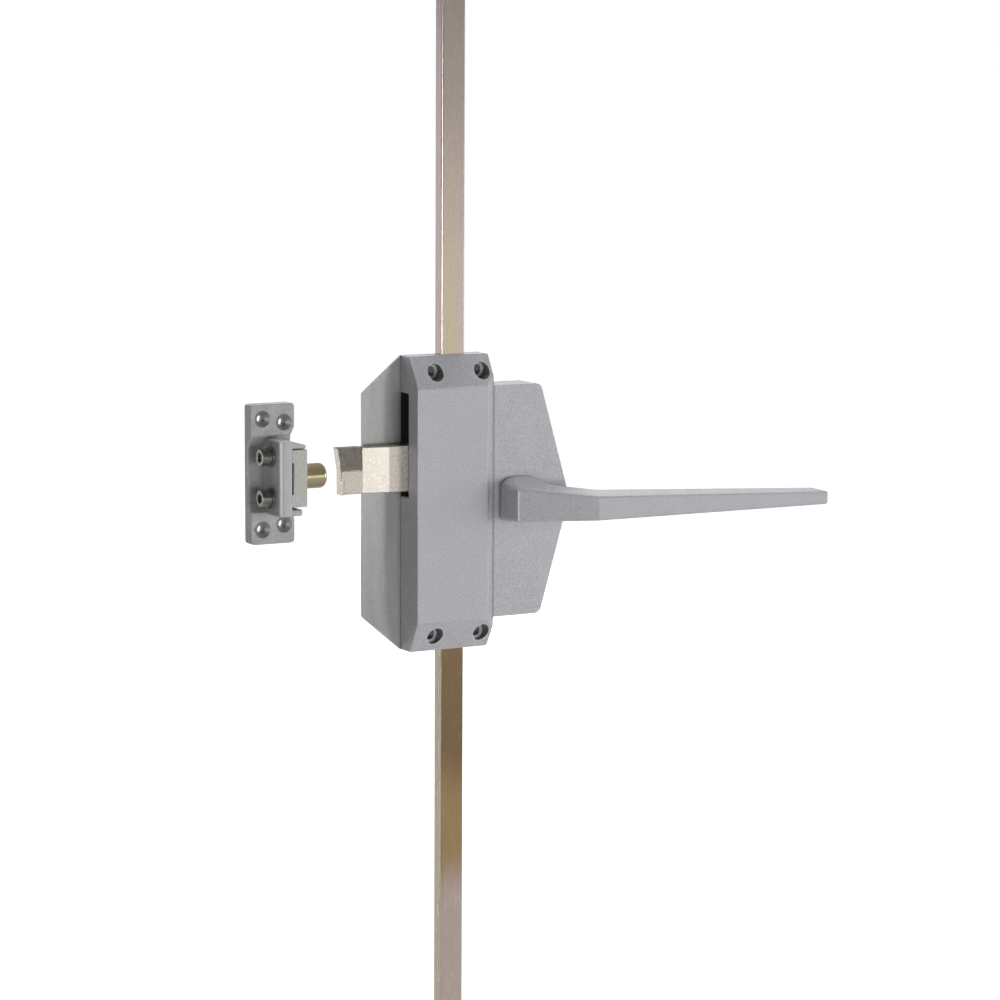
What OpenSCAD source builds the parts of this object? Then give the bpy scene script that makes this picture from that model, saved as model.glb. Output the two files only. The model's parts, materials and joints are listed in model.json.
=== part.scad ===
// Surface-mounted cremone bolt: a cast case with a lever handle, two sliding flat-bar rods,
// a hook latch and a separate adjustable strike.
// X runs to the right, Y into the door and Z up. The door's face is the plane Y = 0,
// the rods' centre line is X = 0 and the handle's axis is at Z = 0.

/* [Case] */
// Height of the case
case_h = 148; // [142:1:170]
// Wall thickness of the casting
wall = 2.2; // [1.8:0.1:2.6]
// Height of the slope at each end of the ridge
end_slope_h = 15.5; // [13:0.5:17]
// Depth of the square end wall, from the door
end_wall_d = 10.8; // [10.4:0.1:12]
// How far the wing's face lies behind the ridge's face
wing_drop = 2.5; // [2:0.1:3]
// Width of the bevel between the ridge's face and the wing
ridge_bevel_w = 2.5; // [2:0.5:3.5]
// Width of the flat shelf between that bevel and the ridge's right side
ridge_shelf = 2.2; // [1.6:0.1:2.6]
// Distance from the handle's axis to the wing's corners
wing_corner_dx = 12.5; // [10:0.5:20]
// Distance from the handle's axis to the wing's point
wing_point_dx = 29.5; // [24:0.5:40]
// Corner radius of the wing
wing_corner_r = 4; // [2:0.5:6]
// Gap between the latch's arm and the inside of the ridge's face
front_gap = 0.9; // [0.6:0.1:2]

/* [Base plate] */
// Thickness of the base plate
plate_t = 1.5; // [1:0.1:2.5]
// Width of the plate that shows to the left of the case
flange_w = 21.4; // [12:0.2:30]
// Height of the slope at the plate's left corners
flange_slope_h = 18; // [10:1:30]

/* [Fixing holes] */
// Distance between the two columns of fixing holes
mount_dx = 26; // [24:0.5:32]
// Distance from the case's end to the fixing holes
mount_inset = 8; // [7:0.5:9]
// Diameter of the fixing holes
mount_d = 5.5; // [4:0.5:6]
// Diameter of the screw-head recess
mount_head_d = 8.8; // [8:0.2:9.4]
// Height of the screw-head seat above the door
mount_seat = 9; // [8.6:0.1:9.6]
// Metal between a screw-head recess and the ridge's right side
mount_margin = 1.4; // [0.8:0.1:3]
// Diameter of the cover's and the guides' screws
screw_d = 3; // [2.5:0.1:3.5]

/* [Rods] */
// Width of the flat-bar rods
rod_w = 13; // [11:0.5:14]
// Thickness of the rods
rod_t = 7.5; // [6:0.5:9]
// Gap between the rods and the base plate
rod_gap = 0.5; // [0.3:0.1:1]
// Distance from the handle's axis to a rod's tip
rod_reach = 275; // [200:5:1400]
// Length of the rod under its slider's foot
rod_lap = 20; // [16:1:22]
// Length of the bevel at a rod's tip
rod_tip = 3; // [1:0.5:6]
// Diameter of the screws that hold a rod to its slider
rod_screw_d = 4; // [3:0.5:4.5]
// Length of the nylon guide at each end of the case
guide_len = 11.5; // [9:0.5:13]
// Sliding clearance of the rods and sliders
slide_gap = 0.3; // [0.2:0.05:0.4]

/* [Gears] */
// Tooth module
gear_module = 1.25; // [1.2:0.05:1.3]
// Teeth on a full circle of the sector
sector_teeth = 36; // [34:2:40]
// Pressure angle of the teeth
pressure_angle = 25; // [22:1:26]
// Play between meshing teeth
backlash = 0.2; // [0.15:0.05:0.3]
// Thickness of the sector, the pinion and the racks
gear_t = 3.5; // [3:0.1:4.5]
// Distance of the pinion's axis to the left of the rods' centre line
pinion_offset = 5; // [4.6:0.1:5.4]
// Distance between the lower slider's two pitch lines
slider_web = 8.5; // [8:0.1:10]
// Metal behind the upper slider's teeth
upper_back = 3.4; // [2.5:0.1:5]
// Angle that the handle turns
handle_turn = 60; // [50:1:62]
// Diameter of the pinion's pin
pinion_pin_d = 5; // [4:0.2:6]

/* [Handle] */
// Width of the handle's neck
neck_d = 22; // [20:0.5:23]
// Corner radius of the neck's foot
foot_r = 6.5; // [4:0.5:9]
// Height of the neck's square end above the door
neck_h = 36.6; // [34:0.2:40]
// Height of the grip's face above the door
grip_h = 50; // [46:1:60]
// Distance from the handle's axis to the bend
bend_dx = 28; // [26:1:36]
// Distance from the handle's axis to the lever's tip
lever_reach = 166; // [120:1:180]
// Thickness of the grip
grip_t = 12; // [9:0.5:14]
// Depth of the lever's lower edge below the handle's axis
lever_low = 8.4; // [7:0.2:9]
// Height of the lever's top edge above the axis at the neck
neck_top = 8.5; // [7:0.2:9]
// Height of the grip's top edge above the axis at the bend
bend_top = 4.2; // [3:0.2:6]
// Height of the grip's top edge above the axis at the tip, below it if negative
tip_top = -1.4; // [-3:0.2:2]
// Rise of the grip's top face from front to back
top_rise = 1.7; // [0:0.1:3]
// Edge radius of the lever
lever_r = 1.4; // [0.8:0.1:2]
// Width of the square spindle
spindle_sq = 8; // [7:0.5:9]
// Diameter of the spindle's front journal
journal_d = 12.6; // [12.2:0.1:13.5]
// Diameter of the handle's grub screw
grub_d = 5; // [4:0.5:6]

/* [Hook latch] */
// Height of the latch
latch_h = 23; // [18:0.5:24]
// Height of the latch's middle above the handle's axis
latch_z = 18.4; // [17:0.1:19]
// Length of the latch's straight root outside the case
latch_root = 10.5; // [8:0.5:14]
// Length of the latch's slanted face
latch_slant = 13.6; // [10:0.2:16]
// Length of the latch's tip
latch_tip = 12.8; // [11:0.2:16]
// How far the tip's face lies behind the root's face
tip_drop = 2.4; // [1.6:0.1:3]
// Thickness of the latch's tip
tip_t = 3.5; // [3:0.1:4]
// Width of the lip at the end of the latch
lip_w = 2.6; // [2:0.1:4]
// Height of that lip above the tip's face
lip_h = 1.9; // [1:0.1:3]
// How far the tip's upper half leans towards the door
tip_lean = 3.7; // [1:0.1:3.8]
// Thickness of the arm that joins the latch to its slider
arm_t = 3.2; // [2.6:0.1:4]
// Thickness of the riser between the latch and that arm
riser_t = 4.6; // [3:0.1:6]

/* [Return spring] */
// Outer diameter of the spring
spring_d = 6.4; // [5.6:0.1:6.6]
// Diameter of its wire
spring_wire = 0.8; // [0.6:0.1:1]
// Number of turns
spring_turns = 12; // [9:1:14]

/* [Strike] */
// Distance from the case to the strike plate
strike_gap = 61.4; // [40:0.2:80]
// Height of the strike's middle above the handle's axis
strike_z = 19.5; // [15:0.1:24]
// Height of the strike plate
strike_h = 68.5; // [66:0.5:80]
// Width of the strike plate
strike_w = 23.2; // [22:0.2:26]
// Thickness of its flanges
strike_t = 8; // [7:0.2:9]
// Thickness of the plate behind the screw heads
strike_floor = 3.5; // [2.5:0.1:5]
// Distance of the left pair of screw holes
hole_pair_a = 54; // [53:0.5:56]
// Distance of the right pair of screw holes
hole_pair_b = 50; // [49:0.5:52]
// Distance between the two pairs
hole_pair_dx = 11.4; // [10:0.2:12]
// Diameter of the strike's screw holes
strike_hole_d = 4; // [3.5:0.1:5]
// Diameter of their countersinks
strike_sink_d = 8.2; // [7:0.2:8.6]
// Height of the bracket's wall above the door
bracket_h = 22; // [20:0.5:26]
// Thickness of the bracket's wall
bracket_t = 6.6; // [4:0.2:7]
// Height of the bracket
bracket_len = 37; // [35:0.5:39]
// Length of the bracket's two lips
lip_len = 7.8; // [6:0.2:9]
// Height of the strike block
block_h = 28; // [26:0.5:28.4]
// Thickness of the strike block
block_t = 8; // [7:0.2:10]
// Height of the pin's axis above the door
pin_y = 14.5; // [14:0.1:15]
// Diameter of the strike pin
pin_d = 12.2; // [10:0.2:13]
// Length of the pin beyond the block
pin_len = 12; // [10:0.5:20]
// Diameter of the clamp screws
clamp_d = 5; // [4.5:0.5:6]
// Distance between the clamp screws
clamp_pitch = 20; // [18:0.5:21]
// Height of the clamp screws above the door
clamp_y = 12.2; // [12:0.1:14]
// Travel of the block to either side
strike_travel = 2; // [1:0.1:2.4]

/* [Hidden] */
$fn = 64;
eps = 0.01;
fit = 0.05;
draft_gap = 0.4;

// Gear train, from the pinion to the handle
pinion_teeth = 12;
sector_r = gear_module * sector_teeth / 2;
pinion_r = gear_module * pinion_teeth / 2;
addendum = gear_module;
dedendum = 1.25 * gear_module;
tooth_pitch = PI * gear_module;
stroke = sector_r * handle_turn * PI / 180;
pinion_x = -pinion_offset;
inner_rack_x = pinion_x + pinion_r;
outer_rack_x = inner_rack_x + slider_web;
handle_x = outer_rack_x + sector_r;
upper_rack_x = pinion_x - pinion_r;
upper_left = upper_rack_x - dedendum - upper_back;

// Layers, as heights above the door
rod_back = plate_t + rod_gap;
rod_front = rod_back + rod_t;
gear_back = rod_front + draft_gap;
gear_front = gear_back + gear_t;
arm_back = gear_front + slide_gap;
arm_front = arm_back + arm_t;
case_d = arm_front + front_gap + wall;
wing_d = case_d - wing_drop;

// Outline of the case
half_h = case_h / 2;
face_half = half_h - end_slope_h;
ridge_left = -(riser_t + 2 * draft_gap + wall) + upper_left;
ridge_right = mount_dx / 2 + mount_head_d / 2 + mount_margin;
shelf_x = ridge_right - ridge_shelf;
bevel_x = shelf_x - ridge_bevel_w;
slope_angle = atan2(case_d - end_wall_d, end_slope_h);
wing_radii = [0, wing_corner_r, 2 * wing_corner_r, wing_corner_r, 0];

// Fixing holes, pillars and screws
mount_z = half_h - mount_inset;
cup_d = mount_head_d + 2;
pillar_d = mount_d + 3;
boss_d = screw_d + 4;
boss_end_inset = 9;
boss_wing_inset = 8;
screw_bite = 6.5;
cup_floor = 1.2;
ridge_boss_x = ridge_left + wall + boss_d / 2 - 0.5;
wing_boss_x = handle_x + wing_corner_dx - boss_d / 2 - wall;
cover_screw_at = [for (s = [-1, 1])
                  each [[ridge_boss_x, s * (half_h - boss_end_inset)], [wing_boss_x, s * (face_half - boss_wing_inset)]]];

// Rods and slider feet
guide_in = half_h - wall - guide_len;
foot_out = guide_in - 2;
rod_in = foot_out - rod_lap;
rod_screw_z = [rod_in + rod_lap * 0.25, rod_in + rod_lap * 0.75];
foot_edge = inner_rack_x - addendum - draft_gap;
upper_screw_x = foot_edge - rod_screw_d - 0.25;
lower_screw_x = 0;

// Racks: the first and the last tooth, counted from the handle's axis
teeth_used = ceil(stroke / tooth_pitch) + 2;
teeth_ahead = 1;
rack_head = (teeth_ahead + 0.6) * tooth_pitch;

// Latch
latch_low = latch_z - latch_h / 2;
latch_high = latch_z + latch_h / 2;
latch_back = plate_t + slide_gap;
latch_front = rod_front + 0.3;
slot_low = latch_low - 3.3;
slot_high = latch_high + stroke + 2;
root_x = ridge_left - latch_root;
slant_x = root_x - latch_slant;
latch_end = slant_x - latch_tip;
tip_face = latch_front - tip_drop;
tip_back = tip_face - tip_t;
lip_slope = 0.6;
arm_h = latch_h * 0.62;
arm_z = [latch_z - arm_h / 2, latch_z + arm_h / 2];

// Guides and spring
web_left = inner_rack_x + dedendum;
web_right = outer_rack_x - dedendum;
spring_x = rod_w / 2 + 2 * slide_gap + spring_d / 2;
spring_y = (rod_back + rod_front) / 2;
spring_low = -foot_out + rod_lap;
spring_top = 10;
slider_top = arm_z[1] + 1;
head_right = outer_rack_x + addendum;
arm_right = head_right - 1;
rivet_x = (web_left + head_right) / 2 - 0.6;
rivet_z = [latch_z - arm_h * 0.27, latch_z + arm_h * 0.27];
rivet_d = 2.6;
lower_guide_right = head_right + slide_gap + 2;
lip_low = sqrt(pow(sector_r + addendum, 2) - pow(handle_x - lower_guide_right, 2)) + 0.8;
lip_len_guide = 9;
lower_guide_top = lip_low + lip_len_guide;
upper_tail = rack_head + 8;
upper_guide_left = ridge_left + wall + draft_gap;
upper_guide_z = [-upper_tail - 16, -addendum - pinion_pin_d];
ear_t = 3;
guide_screw_at = [[(upper_guide_left + upper_rack_x) / 2, (upper_guide_z[0] + upper_guide_z[1]) / 2],
                  [spring_x, lower_guide_top - 4]];
guide_screw_reach = plate_t + 5;

// Handle
washer_t = 0.5;
neck_low = wing_d + slide_gap + washer_t;
foot_t = 2.5;
foot_rise = 1.1;
socket_wall = 4.5;
socket_top = neck_h - socket_wall;
front_bush_d = journal_d + 4;
rear_bush_d = spindle_sq + 4;
bend_x = handle_x + bend_dx;
tip_x = handle_x + lever_reach;
neck_left = handle_x - neck_d / 2;
neck_right = handle_x + neck_d / 2;
bush_flange_t = wing_d - wall - gear_front - 2 * slide_gap;
clip_t = 1;

// Strike
plate_right = ridge_left - strike_gap;
plate_left = plate_right - strike_w;
wall_right = plate_right - lip_len;
wall_left = wall_right - bracket_t;
pin_z = latch_z;
hole_left_x = plate_left + 6;
hole_right_x = hole_left_x + hole_pair_dx;
washer_d = 2 * clamp_d;
clamp_washer_t = 1.4;
bracket_z = [pin_z - bracket_len / 2, pin_z + bracket_len / 2];
block_x = [wall_right, wall_right + block_t];
block_z = [pin_z - block_h / 2, pin_z + block_h / 2];
block_back = pin_y - pin_d / 2 - 0.4;
clamp_z = [pin_z - clamp_pitch / 2, pin_z + clamp_pitch / 2];
head_right_x = wall_left - clamp_washer_t;
slot_w = clamp_d + 0.6;
strike_r = 1.6;
bar_r = 2.6;
cap_slope = 2.4;
low_lip_gap = 1.4;
low_lip_short = 1.6;

// Rounds the corners of an outline, each by its own radius
function unit2(v) = v / norm(v);
function corner(a, b, c, r, n = 6) =
    r == 0 ? [b] :
    let (u = unit2(a - b), v = unit2(c - b), half = acos(u * v) / 2,
         mid = b + unit2(u + v) * r / sin(half),
         p = b + u * r / tan(half) - mid, q = b + v * r / tan(half) - mid,
         a0 = atan2(p[1], p[0]), turn = atan2(p[0] * q[1] - p[1] * q[0], p * q))
    [for (i = [0:n]) mid + r * [cos(a0 + turn * i / n), sin(a0 + turn * i / n)]];
function rounded(pts, radii) =
    let (n = len(pts))
    [for (i = [0:n - 1]) each corner(pts[(i + n - 1) % n], pts[i], pts[(i + 1) % n], radii[i])];

// Involute tooth: the half angle of a tooth at a radius, and its outline
function inv(a) = tan(a) * 180 / PI - a;
function half_tooth(teeth, r) =
    let (pr = gear_module * teeth / 2, rb = pr * cos(pressure_angle),
         at_pitch = (tooth_pitch / 2 - backlash / 2) / (2 * pr) * 180 / PI)
    at_pitch + inv(pressure_angle) - inv(acos(min(1, rb / r)));
function polar(r, a) = [r * cos(a), r * sin(a)];
function tooth(teeth, steps = 6) =
    let (pr = gear_module * teeth / 2, low = pr - dedendum, high = pr + addendum,
         base = max(low, pr * cos(pressure_angle)),
         flank = [for (i = [0:steps]) base + (high - base) * i / steps])
    concat([polar(low - 0.3, half_tooth(teeth, base))], [for (r = flank) polar(r, half_tooth(teeth, r))],
           [for (i = [steps:-1:0]) polar(flank[i], -half_tooth(teeth, flank[i]))],
           [polar(low - 0.3, -half_tooth(teeth, base))]);

// Wire of the return spring, wound at a steady pitch between two closed end turns
function spring_rise(t) =
    let (dead = spring_wire + 0.45, free = spring_top - spring_low - spring_wire - 2 * fit - 2 * dead)
    t < 1 ? dead * t
    : t > spring_turns - 1 ? dead + free + dead * (t - spring_turns + 1)
    : dead + free * (t - 1) / (spring_turns - 2);

// Places a flat outline in XZ between two heights above the door
module slab(low, high) {
    translate([0, -low, 0]) rotate([90, 0, 0]) linear_extrude(high - low) children();
}

// Places an outline in YZ between two places along X
module along_x(x0, x1) {
    translate([x0, 0, 0]) rotate([90, 0, 90]) linear_extrude(x1 - x0) children();
}

// Places an outline in XY between two heights along Z
module along_z(z0, z1) {
    translate([0, 0, z0]) linear_extrude(z1 - z0) children();
}

// A box between two places along X, two heights above the door and two heights along Z
module box(x, h, z) {
    translate([x[0], -h[1], z[0]]) cube([x[1] - x[0], h[1] - h[0], z[1] - z[0]]);
}

// A round bar along Y between two heights above the door
module post(x, z, d, low, high) {
    translate([x, -low, z]) rotate([90, 0, 0]) cylinder(d = d, h = high - low);
}

// A round bar along X between two places
module bar_x(x0, x1, h, z, d) {
    translate([x0, -h, z]) rotate([0, 90, 0]) cylinder(d = d, h = x1 - x0);
}

// A countersunk screw along Y, with its head at the door
module screw_from_door(x, z, d, reach) {
    post(x, z, d, fit, reach);
    translate([x, -fit, z]) rotate([90, 0, 0]) cylinder(d1 = 2 * d - 2 * fit, d2 = d, h = d / 2 - fit);
}

// The hole for such a screw through the base plate
module sunk_hole(x, z, d) {
    post(x, z, d + 2 * fit, -1, plate_t + 1);
    translate([x, 0, z]) rotate([90, 0, 0]) cylinder(d1 = 2 * d, d2 = d + 2 * fit, h = d / 2);
}

// A countersunk screw along Y, with its head away from the door, or the hole for it
module screw_from_front(x, z, d, low, high, gap) {
    post(x, z, d + 2 * gap, low, high);
    translate([x, -high, z]) rotate([-90, 0, 0]) cylinder(d1 = 2 * d + 2 * gap, d2 = d + 2 * gap, h = d / 2);
}

// A retaining clip on a bar along Y, open on its lower side
module clip_ring(x, z, d, groove_d, low) {
    difference() {
        post(x, z, d + 5, low, low + clip_t);
        post(x, z, groove_d + 2 * fit, low - 1, low + clip_t + 1);
        box([x - groove_d * 0.35, x + groove_d * 0.35], [low - 1, low + clip_t + 1], [z - d, z]);
    }
}

// Section of the ridge, with its sloped ends, offset inwards by t
module ridge_section(t, back) {
    front_z = face_half - t * tan(slope_angle / 2);
    end_y = -end_wall_d + t * tan((90 - slope_angle) / 2);
    polygon([[-back, -half_h + t], [end_y, -half_h + t], [-case_d + t, -front_z], [-case_d + t, front_z],
             [end_y, half_h - t], [-back, half_h - t]]);
}

// Outline of the wing, offset inwards by t
module wing_shape(t) {
    side = handle_x + wing_corner_dx - t;
    high = face_half - t;
    polygon(rounded([[0, -high], [side, -high], [handle_x + wing_point_dx - t, 0], [side, high], [0, high]],
                    [for (r = wing_radii) max(r - t, 0)]));
}

module case_solid() {
    intersection() {
        along_x(ridge_left, ridge_right) ridge_section(0, plate_t);
        along_z(-half_h, half_h)
            polygon([[ridge_left, 0], [ridge_left, -case_d], [bevel_x, -case_d], [shelf_x, -wing_d],
                     [ridge_right, -wing_d], [ridge_right, 0]]);
    }
    slab(plate_t, wing_d) wing_shape(0);
}

module case_hollow() {
    along_x(ridge_left + wall, bevel_x) ridge_section(wall, 0);
    intersection() {
        along_x(bevel_x - wall, ridge_right - wall) ridge_section(wall, 0);
        slab(-1, wing_d - wall) square([2 * case_h, 2 * case_h], center = true);
    }
    slab(0, wing_d - wall) wing_shape(wall);
}

module mount_places() {
    for (sx = [-1, 1], sz = [-1, 1]) translate([sx * mount_dx / 2, 0, sz * mount_z]) children();
}

module rod_notch() {
    side = rod_w / 2 + draft_gap;
    box([-side, side], [0, rod_front + draft_gap], [guide_in, half_h + 1]);
}

module case_cover() {
    color([0.66, 0.66, 0.69]) difference() {
        union() {
            difference() {
                case_solid();
                case_hollow();
            }
            intersection() {
                case_solid();
                union() {
                    mount_places() {
                        post(0, 0, cup_d, mount_seat - cup_floor, case_d);
                        post(0, 0, pillar_d, plate_t, case_d);
                    }
                    for (p = cover_screw_at) post(p[0], p[1], boss_d, plate_t, case_d);
                }
            }
        }
        mount_places() {
            post(0, 0, mount_d, 0, case_d);
            post(0, 0, mount_head_d, mount_seat, case_d + 1);
        }
        for (p = cover_screw_at) post(p[0], p[1], screw_d + 2 * fit, 0, plate_t + screw_bite + draft_gap);
        for (s = [0, 1]) mirror([0, 0, s]) rod_notch();
        box([ridge_left - 1, ridge_left + wall + 1], [0, latch_front + slide_gap], [slot_low, slot_high]);
        post(handle_x, 0, front_bush_d + 2 * fit, 0, case_d);
    }
}

module base_plate() {
    left = ridge_left - flange_w;
    low = half_h - flange_slope_h;
    side = handle_x + wing_corner_dx;
    outline = [[left, -low], [ridge_left, -half_h], [ridge_right, -half_h], [ridge_right, -face_half],
               [side, -face_half], [handle_x + wing_point_dx, 0], [side, face_half], [ridge_right, face_half],
               [ridge_right, half_h], [ridge_left, half_h], [left, low]];
    radii = [2, 2, 0, 0, wing_corner_r, 2 * wing_corner_r, wing_corner_r, 0, 0, 2, 2];
    color([0.62, 0.61, 0.6]) difference() {
        slab(0, plate_t) polygon(rounded(outline, radii));
        mount_places() post(0, 0, mount_d, -1, plate_t + 1);
        for (p = concat(cover_screw_at, guide_screw_at)) sunk_hole(p[0], p[1], screw_d);
        post(handle_x, 0, rear_bush_d + 2 * fit, -1, plate_t + 1);
        post(pinion_x, 0, pinion_pin_d + 2 * fit, -1, plate_t + 1);
    }
}

module cover_screws() {
    color([0.6, 0.6, 0.58]) for (p = cover_screw_at) screw_from_door(p[0], p[1], screw_d, plate_t + screw_bite);
}

module guide_screws() {
    reach = guide_screw_reach - 0.5;
    color([0.6, 0.6, 0.58]) for (p = guide_screw_at) screw_from_door(p[0], p[1], screw_d, reach);
}

// Nylon bridge over a rod, trapped between the base plate and the case's end
module rod_guide_shape() {
    inner = rod_w / 2 + slide_gap;
    wide = mount_dx / 2 - pillar_d / 2 - slide_gap;
    step = mount_seat - cup_floor - slide_gap;
    top = rod_front + slide_gap + 1.4;
    arch_t = 2.4;
    difference() {
        union() {
            box([-wide, wide], [plate_t, step], [guide_in, half_h - wall - slide_gap]);
            box([-wide, wide], [plate_t, top], [guide_in, guide_in + arch_t]);
        }
        box([-inner, inner], [0, rod_front + slide_gap], [guide_in - 1, half_h]);
    }
}

module upper_rod_guide() {
    color([0.9, 0.89, 0.85]) rod_guide_shape();
}

module lower_rod_guide() {
    color([0.9, 0.89, 0.85]) mirror([0, 0, 1]) rod_guide_shape();
}

// Acetal block behind and beside the upper slider
module upper_guide() {
    lip = upper_left - slide_gap;
    color([0.9, 0.89, 0.85]) difference() {
        union() {
            box([upper_guide_left, upper_rack_x], [plate_t, gear_back - slide_gap], upper_guide_z);
            box([upper_guide_left, lip], [plate_t, gear_front], upper_guide_z);
        }
        post(guide_screw_at[0][0], guide_screw_at[0][1], screw_d + 2 * fit, 0, guide_screw_reach);
    }
}

// Acetal block behind and beside the lower slider, which is also the spring's upper seat
module lower_guide() {
    left = rod_w / 2 + slide_gap;
    lip = head_right + slide_gap;
    spigot_d = spring_d - 2 * spring_wire - 0.4;
    color([0.9, 0.89, 0.85]) difference() {
        union() {
            box([left, lower_guide_right], [plate_t, gear_back - slide_gap], [spring_top, lower_guide_top]);
            box([lip, lower_guide_right], [plate_t, gear_front], [lip_low, lower_guide_top]);
            translate([spring_x, -spring_y, spring_top - 5]) cylinder(d = spigot_d, h = 6);
        }
        post(guide_screw_at[1][0], guide_screw_at[1][1], screw_d + 2 * fit, 0, guide_screw_reach);
    }
}

module pinion_pin() {
    color([0.7, 0.7, 0.7]) difference() {
        union() {
            post(pinion_x, 0, pinion_pin_d, 0.2, gear_front + clip_t + 1);
            post(pinion_x, 0, pinion_pin_d + 4, plate_t, gear_back - 2 * fit);
        }
        difference() {
            post(pinion_x, 0, pinion_pin_d + 1, gear_front + 2 * fit, gear_front + 4 * fit + clip_t);
            post(pinion_x, 0, pinion_pin_d * 0.8, gear_front, gear_front + clip_t + 1);
        }
    }
}

module pinion_clip() {
    color([0.3, 0.3, 0.32]) clip_ring(pinion_x, 0, pinion_pin_d, pinion_pin_d * 0.8, gear_front + 3 * fit);
}

module front_bush() {
    low = wing_d - wall;
    color([0.72, 0.52, 0.3]) difference() {
        union() {
            post(handle_x, 0, front_bush_d, low, wing_d);
            post(handle_x, 0, front_bush_d + 4, low - bush_flange_t, low);
        }
        post(handle_x, 0, journal_d + 2 * fit, 0, case_d);
    }
}

module rear_bush() {
    color([0.72, 0.52, 0.3]) difference() {
        union() {
            post(handle_x, 0, rear_bush_d, 0, plate_t + 1);
            post(handle_x, 0, rear_bush_d + 4, plate_t, plate_t + 2);
        }
        post(handle_x, 0, spindle_sq + 2 * fit, -1, case_d);
    }
}

// A rounded corner of the lever
module knuckle(x, h, z) {
    translate([x, -h, z]) sphere(r = lever_r, $fn = 20);
}

// The upper and the lower corner of the lever at one place
module knuckles(x, h, top) {
    for (z = [top - lever_r, lever_r - lever_low]) knuckle(x, h, z);
}

// The neck's foot on the wing: a rounded square
module neck_foot() {
    side = neck_d / 2;
    outline = [[-side, -side], [side, -side], [side, side], [-side, side]];
    slab(neck_low, neck_low + foot_t)
        translate([handle_x, foot_rise]) polygon(rounded(outline, [foot_r / 2, foot_r / 2, foot_r, foot_r]));
}

module lever_shape() {
    back_h = grip_h - grip_t + lever_r;
    front_h = grip_h - lever_r;
    inner_x = bend_x + grip_t / 3;
    left = neck_left + lever_r;
    hull() {
        neck_foot();
        knuckles(left, neck_h - lever_r, neck_top);
        knuckles(neck_right - lever_r, neck_h - lever_r, neck_top);
    }
    hull() {
        knuckles(left, neck_h - lever_r, neck_top);
        knuckles(left, neck_h - 3 * lever_r, neck_top);
        knuckles(neck_right - lever_r, (neck_low + neck_h) / 2, neck_top);
        knuckles(bend_x, front_h, bend_top);
        knuckles(inner_x, back_h, bend_top + top_rise);
    }
    hull() {
        knuckles(bend_x, front_h, bend_top);
        knuckles(inner_x, back_h, bend_top + top_rise);
        knuckles(tip_x - lever_r, front_h, tip_top);
        knuckles(tip_x - lever_r - grip_t / 4, back_h + 1, tip_top + top_rise / 2);
    }
}

module lever_handle() {
    socket = spindle_sq / 2 + fit;
    grub_y = (neck_low + socket_top) / 2;
    color([0.68, 0.68, 0.71]) difference() {
        lever_shape();
        box([handle_x - socket, handle_x + socket], [neck_low - 1, socket_top], [-socket, socket]);
        translate([handle_x, -grub_y, -neck_d]) cylinder(d = grub_d + 2 * fit, h = neck_d);
    }
}

module neck_washer() {
    color([0.2, 0.2, 0.2]) difference() {
        post(handle_x, 0, neck_d - 4, wing_d + slide_gap, neck_low);
        post(handle_x, 0, journal_d + 2 * fit, wing_d, neck_low + 1);
    }
}

module spindle() {
    half = spindle_sq / 2;
    groove_low = gear_back - 3 * fit - clip_t;
    color([0.55, 0.55, 0.57]) difference() {
        union() {
            box([handle_x - half, handle_x + half], [gear_back, socket_top - 0.3], [-half, half]);
            post(handle_x, 0, journal_d, gear_front, neck_low);
            post(handle_x, 0, spindle_sq, 0.3, gear_back);
        }
        difference() {
            post(handle_x, 0, spindle_sq + 1, groove_low, groove_low + clip_t + 2 * fit);
            post(handle_x, 0, spindle_sq * 0.8, groove_low - 1, gear_back);
        }
    }
}

module sector_clip() {
    low = gear_back - 2 * fit - clip_t;
    color([0.3, 0.3, 0.32]) clip_ring(handle_x, 0, spindle_sq, spindle_sq * 0.8, low);
}

module grub_screw() {
    grub_y = (neck_low + socket_top) / 2;
    top = -spindle_sq / 2;
    color([0.25, 0.25, 0.27]) difference() {
        translate([handle_x, -grub_y, 2.5 - neck_d / 2]) cylinder(d = grub_d, h = top - 2.5 + neck_d / 2);
        translate([handle_x, -grub_y, 2 - neck_d / 2]) cylinder(d = grub_d * 0.55, h = 3, $fn = 6);
    }
}

// Teeth of a gear along Y, one at each listed angle
module gear_teeth(x, teeth, angles) {
    translate([x, 0, 0]) for (a = angles) slab(gear_back, gear_front) rotate(a) polygon(tooth(teeth));
}

// Quadrant on the spindle, with teeth only where it meets the rack
module toothed_sector() {
    step = 360 / sector_teeth;
    count = teeth_used;
    root = sector_r - dedendum;
    first = 180 - step / 2;
    last = first + count * step;
    half = spindle_sq / 2 + fit;
    color([0.6, 0.58, 0.5]) difference() {
        union() {
            intersection() {
                post(handle_x, 0, 2 * root, gear_back, gear_front);
                translate([handle_x, 0, 0]) slab(gear_back, gear_front)
                    polygon([[6, 6], for (a = [first - step / 2, (first + last) / 2, last + step / 2])
                             polar(2 * root, a), [6, -6]]);
            }
            post(handle_x, 0, 2 * spindle_sq + 2, gear_back, gear_front);
            gear_teeth(handle_x, sector_teeth, [for (i = [0:count]) first + i * step]);
        }
        box([handle_x - half, handle_x + half], [gear_back - 1, gear_front + 1], [-half, half]);
        for (a = [0.35, 0.65]) let (p = polar(sector_r * 0.64, first + (last - first) * a))
            post(handle_x + p[0], p[1], 5, gear_back - 1, gear_front + 1);
    }
}

module reversing_pinion() {
    step = 360 / pinion_teeth;
    color([0.6, 0.58, 0.5]) difference() {
        union() {
            post(pinion_x, 0, 2 * (pinion_r - dedendum), gear_back, gear_front);
            gear_teeth(pinion_x, pinion_teeth, [for (i = [0:pinion_teeth - 1]) (i + 0.5) * step]);
        }
        post(pinion_x, 0, pinion_pin_d + 2 * fit, 0, case_d);
    }
}

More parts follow.
